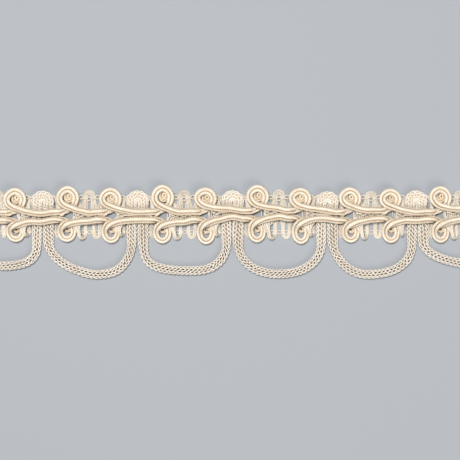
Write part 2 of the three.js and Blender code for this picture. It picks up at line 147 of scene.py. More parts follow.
# The pairs of knitted legs: x is the slit between the legs, rise the dome's height against the usual,
# and lean its shift along the trim.
PAIRS = np.array([
    # x      rise   lean
    (-60.7, 0.00, 0.0),
    (-30.3, 0.05, 0.0),
    (0.15, 0.10, 0.0),
    (30.6, -0.20, 0.0),
    (59.7, 0.10, -0.75),
])

# The scallops from left to right: depth under y = 0, the boxiness of the left and the right half, and
# the lowest point's lean to the right.
SCALLOPS = np.array([
    # deep  left  right lean
    (10.95, 3.20, 3.00, 0.0),
    (13.70, 1.70, 2.19, 2.2),
    (12.45, 3.10, 2.32, 1.9),
    (13.50, 2.20, 2.12, -0.1),
    (13.68, 1.92, 2.22, -1.3),
    (10.50, 1.82, 2.10, 3.4),
])

# Each satin cord's y where it sweeps between its curls.
ROWS = np.array([
    # x      upper  lower
    (-76.0, 6.30, 3.70),
    (-60.7, 6.25, 3.65),
    (-45.4, 6.35, 3.75),
    (-30.3, 6.30, 3.65),
    (-15.0, 6.35, 3.75),
    (0.3, 7.35, 4.75),
    (14.8, 7.35, 4.75),
    (30.6, 6.50, 3.90),
    (44.4, 6.85, 4.25),
    (59.5, 6.30, 3.70),
    (73.5, 7.30, 4.70),
    (76.0, 7.30, 4.70),
])

# The upper scrolls: each curl's x and the y of its top, the cord's y before and after it, its y half way
# to the next curl, and how much higher it crosses over its own tail.
UPPER_CURLS = np.array([
    # x      top    before after  half way crossing
    (-69.4, 12.95, 6.27, 6.40, 5.95, 0.45),
    (-52.5, 13.60, 6.45, 6.72, 6.20, 0.45),
    (-38.8, 13.04, 6.45, 6.97, 6.36, 0.40),
    (-22.1, 14.03, 6.50, 6.50, 6.43, 0.55),
    (-8.4, 13.07, 6.50, 7.75, 7.36, -0.15),
    (8.3, 13.95, 6.80, 7.95, 7.47, -0.15),
    (21.9, 13.05, 6.95, 7.60, 7.00, -0.05),
    (37.9, 13.18, 6.45, 7.07, 7.00, 0.42),
    (50.8, 12.80, 7.00, 6.80, 6.35, 0.60),
    (66.8, 13.56, 6.50, 7.65, 7.65, -0.15),
])

# The lower scrolls in the same way: each curl's x and the y of its lowest point, and so on.
LOWER_CURLS = np.array([
    # x      low    before after  half way crossing
    (-69.2, -2.33, 3.70, 3.25, 3.25, -0.40),
    (-52.8, -2.31, 3.87, 3.20, 3.49, 0.00),
    (-38.7, -2.68, 3.90, 3.50, 3.85, -0.15),
    (-22.2, -2.80, 3.85, 3.05, 3.25, -0.10),
    (-8.2, -3.05, 3.90, 3.95, 4.88, -0.40),
    (8.1, -2.45, 4.30, 4.50, 4.98, -0.40),
    (22.2, -2.99, 4.45, 4.10, 4.25, -0.35),
    (38.2, -2.53, 3.70, 3.60, 4.05, -0.40),
    (51.1, -2.68, 4.20, 3.60, 3.60, -0.15),
    (67.0, -2.62, 4.00, 3.75, 4.30, -0.40),
])

# One upper scroll in path order: x from the curl's centre, out from the sweep as a share of the curl's
# height, z above the surface, the cord's turn in degrees, and how full it is.
UPPER_SCROLL = np.array([
    # x     out   z     turn  size
    (-4.60, 0.00, 3.50, 12, 1.00),
    (-2.90, 0.00, 3.10, 20, 0.98),
    (-1.50, 0.025, 2.15, 40, 0.90),
    (0.10, 0.10, 1.36, 60, 0.84),
    (1.40, 0.24, 1.62, 60, 0.86),
    (2.15, 0.41, 2.25, 60, 0.94),
    (2.42, 0.64, 2.45, 60, 1.00),
    (1.60, 0.88, 2.40, 60, 1.00),
    (-0.10, 1.00, 2.45, 60, 1.00),
    (-1.80, 0.89, 2.70, 60, 1.00),
    (-2.66, 0.66, 3.20, 56, 1.00),
    (-2.45, 0.46, 3.65, 44, 1.00),
    (-1.60, 0.29, 3.85, 30, 1.00),
    (-0.30, 0.16, 3.95, 20, 1.00),
    (1.30, 0.085, 3.90, 12, 1.00),
    (3.10, 0.01, 3.70, 12, 1.00),
    (4.70, -0.02, 3.55, 12, 1.00),
])

# One lower scroll in the same way. Its share out goes towards the scallops.
LOWER_SCROLL = np.array([
    # x     out   z     turn  size
    (-4.40, 0.00, 3.50, 12, 1.00),
    (-2.90, 0.00, 3.05, 6, 0.98),
    (-1.50, 0.02, 2.10, -20, 0.88),
    (-0.10, 0.10, 1.30, -50, 0.80),
    (1.10, 0.24, 1.15, -60, 0.78),
    (1.78, 0.46, 1.05, -60, 0.80),
    (1.85, 0.70, 1.08, -60, 0.84),
    (1.25, 0.90, 1.25, -60, 0.88),
    (-0.10, 1.00, 1.60, -60, 0.90),
    (-1.45, 0.90, 2.00, -60, 0.90),
    (-2.10, 0.68, 2.40, -56, 0.90),
    (-2.05, 0.47, 3.00, -44, 0.92),
    (-1.40, 0.28, 3.65, -30, 1.05),
    (-0.30, 0.14, 3.90, -12, 1.18),
    (1.10, 0.07, 3.95, 4, 1.10),
    (2.70, 0.015, 3.85, 12, 1.02),
    (4.40, -0.02, 3.65, 12, 1.00),
])

# The scroll's rows over which the cord's y passes from before to after the curl, and how the extra
# height of the crossing goes over the scroll's last rows.
CURL_ROWS = (3, 12)
CROSSING_SHARES = (0.2, 0.6, 1.0, 0.9, 0.55, 0.25)

# The gimp yarn's eight legs in a repeat: anchor, x at five heights from the anchor, and whether the leg
# climbs over the lower scroll.
LEG_LEVELS = dict(foot=-0.5, low=2.3, middle=5.1, brow=7.4, head=8.9)
LEGS = {
    # name  anchor        foot   low    middle brow   head   lift
    "a": ("pair", (4.20, 4.40, 4.60, 4.65, 4.60), 0),
    "b": ("first_curl", (-2.30, -2.20, -2.50, -2.60, -2.60), 0),
    "c": ("first_curl", (3.60, 2.75, 3.60, 3.25, 2.95), 1),
    "d": ("middle", (-1.20, -1.20, -1.35, -1.70, -1.32), 0),
    "e": ("middle", (1.50, 1.40, 1.45, 1.62, 1.38), 0),
    "f": ("second_curl", (-3.75, -3.60, -3.40, -3.15, -3.00), 0),
    "g": ("second_curl", (2.85, 2.40, 3.10, 2.95, 2.75), 1),
    "h": ("next_pair", (-4.60, -4.60, -4.55, -4.60, -4.55), 0),
}
# How much higher a lifted leg lies at each height, and the y of each turn's far point.
PATCH_HEIGHT = dict(foot=2.5, low=2.15, middle=1.05, brow=0.0, head=0.0)
TURNS = dict(ab=-1.6, bc=12.0, cd=-1.95, de=12.6, ef=-1.8, fg=12.0, gh=-0.95, ha=11.7)
# The anchors of each repeat from left to right, and how much higher its middle loop reaches.
REPEATS = [
    dict(pair=None, first_curl=None, middle=-75.0, second_curl=-69.4, next_pair=-60.7, rise=0.0),
    dict(pair=-60.7, first_curl=-52.6, middle=-45.9, second_curl=-38.8, next_pair=-30.3, rise=0.1),
    dict(pair=-30.3, first_curl=-22.1, middle=-15.4, second_curl=-8.2, next_pair=0.3, rise=0.0),
    dict(pair=0.3, first_curl=8.2, middle=15.0, second_curl=22.1, next_pair=30.6, rise=0.2),
    dict(pair=30.6, first_curl=38.0, middle=44.6, second_curl=51.5, next_pair=59.5, rise=-0.3),
    dict(pair=59.5, first_curl=66.9, middle=73.3, second_curl=None, next_pair=None, rise=0.0),
]

# Paths


def smooth_step(start, end, value):
    """0 before start, 1 after end, and 3s^2 - 2s^3 of the share s in between."""
    share = np.clip((np.asarray(value, float) - start) / (end - start), 0, 1)
    return share * share * (3 - 2 * share)


def row_level(column, x):
    """A satin row's y at x: smooth steps between the rows of the table."""
    x = np.asarray(x, float)
    left = np.clip(np.searchsorted(ROWS[:, 0], x, side="right") - 1, 0, len(ROWS) - 2)
    share = smooth_step(0, 1, (x - ROWS[left, 0]) / (ROWS[left + 1, 0] - ROWS[left, 0]))
    return ROWS[left, column] * (1 - share) + ROWS[left + 1, column] * share


def smooth_rows(rows, parts):
    """A smooth curve through rows: cubics whose slopes are both neighbours' slopes, weighed by distance."""
    rows = np.asarray(rows, float)
    gap = np.linalg.norm(np.diff(rows[:, :3], axis=0), axis=1)[:, None]
    chord = np.diff(rows, axis=0) / gap
    inner = (chord[:-1] * gap[1:] + chord[1:] * gap[:-1]) / (gap[1:] + gap[:-1])
    slope = np.concatenate([chord[:1], inner, chord[-1:]])
    t = (np.arange(parts) / parts)[None, :, None]
    start, start_slope = 2 * t**3 - 3 * t**2 + 1, t**3 - 2 * t**2 + t
    end, end_slope = 3 * t**2 - 2 * t**3, t**3 - t**2
    fine = (
        start * rows[:-1, None] + end * rows[1:, None]
        + gap[:, None] * (start_slope * slope[:-1, None] + end_slope * slope[1:, None])
    )
    return np.concatenate([fine.reshape(-1, rows.shape[1]), rows[-1:]])


def length_along(path):
    """Distance along a path at each of its points, from 0."""
    return np.concatenate([[0], np.cumsum(np.linalg.norm(np.diff(path[:, :3], axis=0), axis=1))])


def read_at(path, along, wanted):
    """Every column of a path at the wanted distances along it."""
    return np.stack([np.interp(wanted, along, path[:, k]) for k in range(path.shape[1])], axis=1)


def even_rows(path, spacing):
    """The same path with points the same distance apart."""
    along = length_along(path)
    return read_at(path, along, np.linspace(0, along[-1], int(along[-1] / spacing) + 1))


def directions(path):
    """For each point: the heading, the level direction to its right, and the one square to both."""
    heading = np.gradient(path[:, :3], axis=0)
    heading[[0, -1]] = (1, 0, 0)
    heading /= np.linalg.norm(heading, axis=1)[:, None]
    across = np.cross(heading, (0, 0, 1))
    across /= np.linalg.norm(across, axis=1)[:, None]
    return heading, across, np.cross(across, heading)


def uneven(along, number, waves):
    """Slow unevenness along a strand: each wave adds height * sin(along / length + step * number)."""
    return sum(height * np.sin(along / length + step * number) for height, length, step in waves)


def knitted_path():
    """The knitted cord's centre line: half superellipses for the scallops, straight legs, and near half
    circles for the domes. The legs of a pair close up a little and widen by as much, and a pair can
    lean. Columns x, y, z, half width, half thickness."""
    flat = [np.array([[LEFT_END, -SCALLOPS[0, 0]]])]

    def scallop(index, start, end):
        deep, boxy_left, boxy_right, lean = SCALLOPS[index]
        left = PAIRS[0, 0] - PITCH if index == 0 else PAIRS[index - 1, 0]
        right = left + PITCH if index == len(PAIRS) else PAIRS[index, 0]
        angle = np.linspace(start, end, SCALLOP_POINTS)
        boxy = boxy_left + (boxy_right - boxy_left) * smooth_step(*HALVES_MEET, angle / math.pi)
        x = -np.sign(np.cos(angle)) * np.abs(np.cos(angle)) ** (2 / boxy)
        y = np.abs(np.sin(angle)) ** (2 / boxy)
        place = (left + right) / 2 + ((right - left) / 2 - LEG_SPREAD) * x + lean * y**2 * (1 - x**2)
        points = np.stack([place, LEG_FOOT_Y - (deep + LEG_FOOT_Y) * y], axis=1)
        flat.append(points[(points[:, 0] > LEFT_END) & (points[:, 0] < RIGHT_END)])

    for index, (x, rise, _) in enumerate(PAIRS):
        scallop(index, LEFT_CUT if index == 0 else 0, math.pi)
        top = DOME["centre_y"] + rise
        up = np.linspace(LEG_FOOT_Y, top, LEG_POINTS)[1:-1]
        flat.append(np.stack([np.full(len(up), x - LEG_SPREAD), up], axis=1))
        angle = np.linspace(0, math.pi, LEG_POINTS)
        bulge = LEG_SPREAD + (DOME["radius"] - LEG_SPREAD) * np.sin(angle)
        flat.append(np.stack([x - bulge * np.cos(angle), top + DOME["radius"] * np.sin(angle)], axis=1))
        flat.append(np.stack([np.full(len(up), x + LEG_SPREAD), up[::-1]], axis=1))
    scallop(len(PAIRS), 0, RIGHT_CUT)
    flat.append(np.array([[RIGHT_END, flat[-1][-1, 1] - LAST_FALL]]))
    x, y = np.concatenate(flat).T
    pair = PAIRS[np.argmin(np.abs(x[:, None] - PAIRS[None, :, 0]), axis=1)]
    on_right = x > pair[:, 0]
    at = {name: smooth_step(*heights, y) for name, heights in KNIT_CHANGE.items()}
    at_slit = CLOSING["slit"] * at["slit"] * at["slit_stops"]
    on_leg = CLOSING["right_leg"] * on_right * at["right_leg"] * at["right_leg_stops"]
    closed = np.maximum(at_slit, on_leg)
    x = x + np.where(on_right, -closed, closed) + pair[:, 2] * at["lean"]
    in_loop, in_dome = 1 - at["legs"], at["dome"]
    thick = KNIT["leg_thick"] + (KNIT["loop_thick"] - KNIT["leg_thick"]) * in_loop
    thick = thick + (KNIT["dome_thick"] - KNIT["leg_thick"]) * in_dome
    wide = KNIT["leg_wide"] + (KNIT["loop_wide"] - KNIT["leg_wide"]) * in_loop
    wide = wide + (KNIT["dome_wide"] - KNIT["leg_wide"]) * in_dome + closed
    foot = row_level(1, x) + DOME["lift_above_row"]
    lift = DOME["lift"] * smooth_step(0, 1, (y - foot) / DOME["lift_over"])
    return np.stack([x, y, thick + lift, wide, thick], axis=1)


def scroll_path(shape, curls):
    """A satin cord's centre line: the scroll's rows set at every curl, y = base + (far - base) * out. The
    base goes from the cord's y before the curl to its y after it, the crossing adds to its last rows, and
    one row lies half way between two curls. Columns x, y, z, turn, size."""
    passed = smooth_step(*CURL_ROWS, np.arange(len(shape)))
    rows = [(LEFT_END, curls[0, 2], SWEEP_HEIGHT, SWEEP_TURN, 1.0)]
    crossed = np.zeros(len(shape))
    crossed[-len(CROSSING_SHARES) :] = CROSSING_SHARES
    for index, (centre, far, before, after, half_way, crossing) in enumerate(curls):
        base = before + (after - before) * passed
        y = base + (far - base) * shape[:, 1] + crossing * crossed
        rows += list(np.stack([centre + shape[:, 0], y, *shape[:, 2:].T], axis=1))
        x = (centre + curls[index + 1, 0]) / 2 if index < len(curls) - 1 else RIGHT_END
        rows.append((x, half_way, SWEEP_HEIGHT, SWEEP_TURN, 1.0))
    return smooth_rows(rows, SATIN["parts"])


def gimp_path():
    """The gimp yarn's centre line: legs through five heights, joined at both edges by turns
    x = -w sign(cos) |cos|^k, y = h sin, with k under 1 for a square turn. Columns x, y, z, half width,
    spread."""
    rows = []
    upwards = list(LEG_LEVELS)
    downwards = upwards[::-1]

    def add(x, y, lift, wide, spread=0.0):
        rows.append((x, y, GIMP["thick"] + lift, wide, spread))

    def place(repeat, name, level):
        anchor, offsets, _ = LEGS[name]
        return repeat[anchor] + offsets[upwards.index(level)]

    def leg(repeat, name, levels):
        lift = LEGS[name][2]
        for level in levels:
            wide = GIMP["foot_wide"] if level in ("foot", "low") else GIMP["top_wide"]
            if lift and level == "low":
                wide = GIMP["patch_wide"]
            spread = lift if level in ("low", "middle") else 0.0
            add(place(repeat, name, level), LEG_LEVELS[level], lift * PATCH_HEIGHT[level], wide, spread)

    def turn(from_x, to_x, far_y, level, lift=0.0, share=1.0):
        y = LEG_LEVELS[level]
        wide = GIMP["top_wide"] if level == "head" else GIMP["foot_wide"]
        for angle in GIMP_TURN["angles"]:
            if angle > 180 * share:
                break
            cosine = math.cos(math.radians(angle))
            sideways = math.copysign(abs(cosine) ** GIMP_TURN[f"{level}_square"], cosine)
            x = (from_x + to_x) / 2 - (to_x - from_x) / 2 * sideways
            still_up = 1 - float(smooth_step(*GIMP_TURN["comes_down"], angle))
            add(x, y + (far_y - y) * math.sin(math.radians(angle)), lift * still_up, wide)

    def join(repeat, names, level, lift=0.0, rise=0.0):
        from_x, to_x = (place(repeat, name, level) for name in names)
        turn(from_x, to_x, TURNS[names] + rise, level, lift)

    patch = PATCH_HEIGHT["foot"]
    for index, repeat in enumerate(REPEATS):
        if repeat["pair"] is not None:
            leg(repeat, "a", downwards)
            join(repeat, "ab", "foot")
            leg(repeat, "b", upwards)
            join(repeat, "bc", "head")
            leg(repeat, "c", downwards)
            join(repeat, "cd", "foot", lift=patch)
            leg(repeat, "d", upwards)
            join(repeat, "de", "head", rise=repeat["rise"])
        else:
            add(repeat["middle"], TURNS["de"], 0, GIMP["top_wide"])
            add(repeat["middle"] + CUT_LOOP["right"], TURNS["de"] - CUT_LOOP["down"], 0, GIMP["top_wide"])
        leg(repeat, "e", downwards)
        if repeat["second_curl"] is None:
            last_foot = place(repeat, "e", "foot")
            turn(last_foot, last_foot + CUT_LOOP["wide"], TURNS["ef"], "foot", share=0.5)
            break
        join(repeat, "ef", "foot")
        leg(repeat, "f", upwards)
        join(repeat, "fg", "head")
        leg(repeat, "g", downwards)
        join(repeat, "gh", "foot", lift=patch)
        leg(repeat, "h", upwards)
        turn(place(repeat, "h", "head"), place(REPEATS[index + 1], "a", "head"), TURNS["ha"], "head")
    path = smooth_rows(rows, GIMP["parts"])
    path[:, 2] = np.maximum(path[:, 2], GIMP["thick"])
    return path


# Surfaces


def tube_grid(centre, right, up, half_wide, half_thick, sides):
    """A tube's grid of points: centre + right * w cos(a) + up * t sin(a) for each ring and each angle a."""
    angle = np.arange(sides) * 2 * math.pi / sides
    half_wide = np.broadcast_to(half_wide, len(centre))[:, None, None]
    half_thick = np.broadcast_to(half_thick, len(centre))[:, None, None]
    cosine, sine = np.cos(angle)[None, :, None], np.sin(angle)[None, :, None]
    return centre[:, None] + right[:, None] * half_wide * cosine + up[:, None] * half_thick * sine


def square_directions(centre, guide):
    """Directions square to a line through the centres: one close to the guide, and one square to it."""
    heading = np.gradient(centre, axis=0)
    heading /= np.linalg.norm(heading, axis=1)[:, None]
    first = guide - heading * np.sum(guide * heading, axis=1)[:, None]
    first /= np.linalg.norm(first, axis=1)[:, None]
    return first, np.cross(heading, first)


def round_thread(line, half_thick):
    """The grid of a plain round thread carried along a line."""
    upright = np.tile((0.0, 0.0, 1.0), (len(line), 1))
    return tube_grid(line, *square_directions(line, upright), half_thick, half_thick, THREAD_SIDES)


def make_piece(name, grids, node, slot, material, **attributes):
    """One mesh from tube grids in millimetres: quads between the rings, a cap at each end. The UV map's
    U is the share round the tube, and its V the distance along it in millimetres."""
    points, quads, caps, uvs, cap_uvs, count = [], [], [], [], [], 0
    for grid in grids:
        rings, sides = grid.shape[:2]
        ring, side = np.meshgrid(np.arange(rings - 1), np.arange(sides), indexing="ij")
        corners = ((ring, side), (ring + 1, side), (ring + 1, side + 1), (ring, side + 1))
        quad = np.stack([row * sides + column % sides for row, column in corners], axis=-1)
        quads.append(quad.reshape(-1, 4) + count)
        along = length_along(grid.mean(axis=1))
        uv_corners = [np.stack([column / sides, along[row]], axis=-1) for row, column in corners]
        uvs.append(np.stack(uv_corners, axis=-2).reshape(-1, 2))
        first_ring = count + np.arange(sides)
        caps += [first_ring, first_ring[::-1] + (rings - 1) * sides]
        cap_uvs.append(np.zeros((2 * sides, 2)))
        points.append(grid.reshape(-1, 3))
        count += rings * sides
    points = (np.concatenate(points) + OUTLINE_SHIFT) * MM
    quads = np.concatenate(quads)
    loops = np.concatenate([quads.ravel(), *caps])
    sizes = np.concatenate([np.full(len(quads), 4), [len(cap) for cap in caps]])
    starts = np.concatenate([[0], np.cumsum(sizes)[:-1]])
    mesh = bpy.data.meshes.new(name)
    mesh.vertices.add(len(points))
    mesh.vertices.foreach_set("co", points.astype(np.float32).ravel())
    mesh.loops.add(len(loops))
    mesh.loops.foreach_set("vertex_index", loops.astype(np.int32))
    mesh.polygons.add(len(sizes))
    mesh.polygons.foreach_set("loop_start", starts.astype(np.int32))
    mesh.polygons.foreach_set("use_smooth", np.ones(len(sizes), bool))
    mesh.update(calc_edges=True)
    uv_map = mesh.uv_layers.new(name="UVMap")
    uv_map.data.foreach_set("uv", np.concatenate(uvs + cap_uvs).astype(np.float32).ravel())
    for label, values in attributes.items():
        attribute = mesh.attributes.new(label, "FLOAT", "POINT")
        attribute.data.foreach_set("value", np.asarray(values, np.float32).ravel())
    mesh.materials.append(material)
    mesh.validate()
    piece = bpy.data.objects.new(name, mesh)
    bpy.context.scene.collection.objects.link(piece)
    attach(piece, "root")
    if node:
        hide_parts(node)
    return piece


def satin_strands(path):
    """The three strands of a satin cord: each follows the cord's centre line a third of a turn apart, and
    turns and swells with it. Returns their grids and a mask of painted shade: 1 where a strand faces its
    mates, in the shade between the strands, and less where the cord lies turned in a curl."""
    path = even_rows(path, SATIN["spacing"])
    _, across, up = directions(path)
    centre, turn, size = path[:, :3], np.radians(path[:, 3]), path[:, 4]
    along, sides = length_along(path), SATIN["sides"]
    grids = []
    for strand, lobe in enumerate(STRAND_LOBES):
        angle = math.radians(lobe) + turn
        outward = across * np.cos(angle)[:, None] + up * np.sin(angle)[:, None]
        wander = uneven(along, strand, STRAND_WAVES)
        line = centre + outward * (size * STRAND_OFF_CENTRE + wander * SATIN["aside"])[:, None]
        radius = size * STRAND / 2 * (SATIN["full"] + SATIN["swells"] * wander)
        grids.append(tube_grid(line, *square_directions(line, outward), radius, radius, sides))
    # Painted shade: the side of a strand that faces its mates is darkened towards the deep tone, less where
    # the cord turns in a curl.
    inward = -np.cos(np.arange(sides) * 2 * math.pi / sides)
    shown = 1 - SATIN["fades"] * smooth_step(*SATIN["fades_over"], np.abs(path[:, 3]))
    facing = shown[:, None] * smooth_step(*SATIN["painted_shade_range"], inward)
    return grids, np.tile(facing.ravel(), len(grids))


def gimp_ends(path):
    """The gimp yarn's five fine ends: side by side across the yarn's width, each an ellipse. They fan out
    where the yarn is spread, and a little where it goes under the satin cords."""
    path = even_rows(path, GIMP["spacing"])
    _, across, up = directions(path)
    along = length_along(path)
    spread = path[:, 4]
    at = {name: smooth_step(*heights, path[:, 1]) for name, heights in FAN_CHANGE.items()}
    from_pair = np.abs(path[:, :1] - PAIRS[None, :, 0])
    by_dome = np.max(smooth_step(*DOME_SIDE, from_pair), axis=1)
    under = at["under_stops"] * at["under"] * (1 - by_dome)
    fan = FAN["usual"] + FAN["top"] * at["top"] + FAN["under"] * under + FAN["spread"] * spread
    fan = fan + FAN["foot"] * at["foot"] + FAN["by_dome"] * by_dome * at["by_dome"]
    quarter = path[:, 3] / 4
    full = END_WIDTH["usual"] + END_WIDTH["under"] * under + END_WIDTH["spread"] * spread
    full = full + END_WIDTH["by_dome"] * by_dome
    grids = []
    for number, place in enumerate(GIMP_ENDS):
        aside = place * 2 * quarter * fan + uneven(along, number, END_SWAYS)
        above = GIMP["crown"] * (1 - abs(place)) + uneven(along, number, END_WAVES)
        line = path[:, :3] + across * aside[:, None] + up * above[:, None]
        grids.append(tube_grid(line, across, up, -quarter * full, GIMP["end_thick"], GIMP["sides"]))
    return grids


def knitted_yarn(path):
    """The knitted tube's yarn. One yarn climbs round the tube in a spiral. For stitch number t, its angle
    is t wales plus a sway of sin(4 pi t), its place along the tube is t courses a round plus a loop of
    cos(2 pi t), and it lies deepest where cos(4 pi t) is 1, so that each loop hooks the next and the legs
    of the stitches stand out. A random number for each stitch varies all three."""
    along = length_along(path)
    _, across, up = directions(path)
    in_dome = smooth_step(*KNIT_CHANGE["dome_stitches"], path[:, 1])
    course, yarn, depth = (
        STITCH[size] + (STITCH[f"dome_{size}"] - STITCH[size]) * in_dome
        for size in ("course", "yarn", "depth")
    )
    roll = ROLL["middle"] + ROLL["swing"] * np.sin(along / ROLL["length"])
    laid = np.concatenate([path, across, up, np.stack([yarn, depth, roll], axis=1)], axis=1)
    courses = np.concatenate([[0], np.cumsum(np.diff(along) * 2 / (course[1:] + course[:-1]))])
    wales = STITCH["wales"]
    stitches = int((courses[-1] - STITCH["free"]) * wales)
    t = np.linspace(0, stitches, stitches * STITCH["segments"] + 1)
    change = np.interp(t, np.arange(stitches + 1), rng.normal(0, 1, stitches + 1))
    sway = STITCH["sway"] * np.sin(4 * math.pi * t) * (1 + UNEVEN["sway"] * change)
    loop = STITCH["loop"] * np.cos(2 * math.pi * t) * (1 + UNEVEN["loop"] * change)
    place = np.interp(STITCH["start"] + t / wales + loop, courses, along)
    here = read_at(laid, along, np.clip(place, 0, along[-1]))
    centre, half_wide, half_thick = here[:, :3], here[:, 3], here[:, 4]
    right, upward = here[:, 5:8], here[:, 8:11]
    yarn_here, depth_here, roll_here = here[:, 11:14].T
    angle = 2 * math.pi * (t + sway) / wales + roll_here
    out = depth_here * (-np.cos(4 * math.pi * t) - 1) - yarn_here + UNEVEN["depth"] * change
    sideways, above = right * np.cos(angle)[:, None], upward * np.sin(angle)[:, None]
    line = centre + sideways * (half_wide + STITCH["out_wide"] + out)[:, None]
    line = line + above * (half_thick + STITCH["out_thick"] + out)[:, None]
    first, second = square_directions(line, sideways + above)
    return tube_grid(line, first, second, yarn_here * STITCH["flat"], yarn_here, STITCH["sides"])


def knitted_core(path):
    """The loose inside of the knitted tube: an ellipse well inside the stitches, near-black as painted
    shade in the holes between stitches. Returns its grid and a mask of how pale it is: 1 at the cut ends,
    less in the domes and legs, and 0 in the hanging loops."""
    path = even_rows(path, CORE["spacing"])
    _, across, up = directions(path)
    y = path[:, 1]
    at_end = smooth_step(*CORE["end"], np.abs(path[:, 0]))
    on_leg = CORE["leg_pale"] * smooth_step(*CORE_CHANGE["leg"], y)
    pale_part = np.maximum(at_end, on_leg + CORE["dome_pale"] * smooth_step(*CORE_CHANGE["dome"], y))
    in_dome = smooth_step(*KNIT_CHANGE["dome_stitches"], y)
    within = CORE["within"] + (CORE["dome_within"] - CORE["within"]) * in_dome
    grid = tube_grid(path[:, :3], across, up, within - path[:, 3], path[:, 4] - within, CORE["sides"])
    return grid, np.repeat(pale_part, CORE["sides"])


def chain_places(names, level):
    """The x of each chain stitch: the middle, at that level, of each pair of neighbouring legs in each
    repeat."""
    column = list(LEG_LEVELS).index(level)
    found = []
    for repeat in REPEATS:
        for pair in names:
            ends = [LEGS[leg] for leg in pair]
            if any(repeat[anchor] is None for anchor, _, _ in ends):
                continue
            found.append(sum(repeat[anchor] + offsets[column] for anchor, offsets, _ in ends) / 2)
    return found


def hump(x, places, reach):
    """1 at each of the places and near 0 beyond the reach: exp(-(distance / reach)^4)."""
    distance = np.min(np.abs(x[:, None] - places[None]), axis=1)
    return np.exp(-((distance / reach) ** 4))


def middle_level(x):
    """The middle chain's y: between the satin rows, and up under the upper one just right of each curl."""
    by_curl = hump(x, UPPER_CURLS[:, 0] + MIDDLE_CHAIN["bulge_at"], MIDDLE_CHAIN["bulge_reach"])
    between_rows = (row_level(1, x) + row_level(2, x)) / 2
    return between_rows + MIDDLE_CHAIN["above"] + MIDDLE_CHAIN["bulge"] * by_curl


def head_level(x):
    """The top chain's y: level with the curls' upper halves, and a little lower inside each middle loop."""
    middles = np.array([repeat["middle"] for repeat in REPEATS])
    return HEAD_CHAIN["y"] - HEAD_CHAIN["dip"] * hump(x, middles, HEAD_CHAIN["dip_reach"])


def foot_level(x):
    """The bottom chain's y: the same all along the trim."""
    return np.full_like(x, FOOT_CHAIN["y"])


def sewn_chain(places, level, height, thread):
    """Two threads sewn along the braid. They open into an eye of +-0.56 mm round each place, and wind
    round one another, y = +-0.17 sin(2 pi x / 1.4) and z = +-0.15 cos(2 pi x / 1.4), in between."""
    x = np.arange(LEFT_END + CHAIN["stops"], RIGHT_END - CHAIN["stops"], CHAIN["spacing"])
    near = np.min(np.abs(x[:, None] - np.asarray(places)[None]), axis=1)
    eye = 1 - smooth_step(*CHAIN["closes"], near)
    angle = 2 * math.pi * x / CHAIN["pitch"]
    grids = []
    for side in (1, -1):
        y = level(x) + side * (CHAIN["eye"] * eye + CHAIN["wind"] * (1 - eye) * np.sin(angle))
        z = height + side * CHAIN["wind_up"] * (1 - eye) * np.cos(angle) + uneven(x, side, CHAIN_WAVES)
        grids.append(round_thread(np.stack([x, y, z], axis=1), thread))
    return grids


def coiled_eye(x, y, height, wide, tall, turns, thread):
    """A coil of thread lying in a curl: x = w (0.3 (1 - r) - r cos(a)), y = h (0.3 (1 - r) - r sin(a)). r
    is 1 for the first turn and falls to 0.4 in the others, so a dark crescent stays at the lower left."""
    angle = np.linspace(0, 2 * math.pi * turns, int(COIL["parts"] * turns))
    inward = COIL["narrows"] * smooth_step(*COIL["narrows_over"], angle)
    x_place = x + wide * (COIL["aside"] * inward - (1 - inward) * np.cos(angle))
    y_place = y + tall * (COIL["aside"] * inward - (1 - inward) * np.sin(angle))
    z_place = height + COIL["rises"] * inward
    return round_thread(np.stack([x_place, y_place, z_place], axis=1), thread)


def curl_eye(x, row_y, far_y, eye, tall):
    """The thread coiled in the curl at x, between the satin row's y and the y of the curl's far end."""
    y = row_y + eye["out"] * (far_y - row_y)
    return coiled_eye(x + EYE_RIGHT, y, eye["height"], eye["wide"], tall, eye["turns"], eye["thread"])


def cross_fibres():
    """Fine loose ends of the gimp yarn that cross between the satin rows just right of each curl, each
    x = x0 + slant s, y = y0 + s, z = 0.6 + 0.8 sin(pi s / length)."""
    share = np.linspace(0, 1, 14)
    z = FIBRES["height"] + FIBRES["arch"] * np.sin(math.pi * share)
    grids = []
    for x, _, before, after, _, _ in UPPER_CURLS:
        for right in rng.uniform(*FIBRES["right"], FIBRES["count"]):
            low, high = before - FIBRES["below"], after + FIBRES["above"]
            run = share * (high - low)
            slant = rng.normal(0.0, FIBRES["slant"])
            line = np.stack([x + right + slant * run, low + run, z], axis=1)
            grids.append(round_thread(line, FIBRES["thread"]))
    return grids


# Finishes


def new_group(name, inputs, outputs):
    """A shader node group with named number inputs and outputs."""
    group = bpy.data.node_groups.new(name, "ShaderNodeTree")
    for label, value in inputs.items():
        socket = group.interface.new_socket(name=label, in_out="INPUT", socket_type="NodeSocketFloat")
        socket.default_value = value
    for label in outputs:
        group.interface.new_socket(name=label, in_out="OUTPUT", socket_type="NodeSocketFloat")
    return group, group.nodes.new("NodeGroupInput"), group.nodes.new("NodeGroupOutput")


def math_node(tree, operation, first, second=None):
    """A Math node fed by sockets or numbers."""
    node = tree.nodes.new("ShaderNodeMath")
    node.operation = operation
    for socket, value in zip(node.inputs, (first, second)):
        if value is None:
            continue
        if isinstance(value, (int, float)):
            socket.default_value = value
        else:
            tree.links.new(value, socket)
    return node.outputs[0]


def strand_axes(group):
    """The piece's UV map, split into U round a strand and V along it."""
    place = group.nodes.new("ShaderNodeUVMap")
    place.uv_map = "UVMap"
    split = group.nodes.new("ShaderNodeSeparateXYZ")
    group.links.new(place.outputs["UV"], split.inputs[0])
    return split.outputs["X"], split.outputs["Y"]


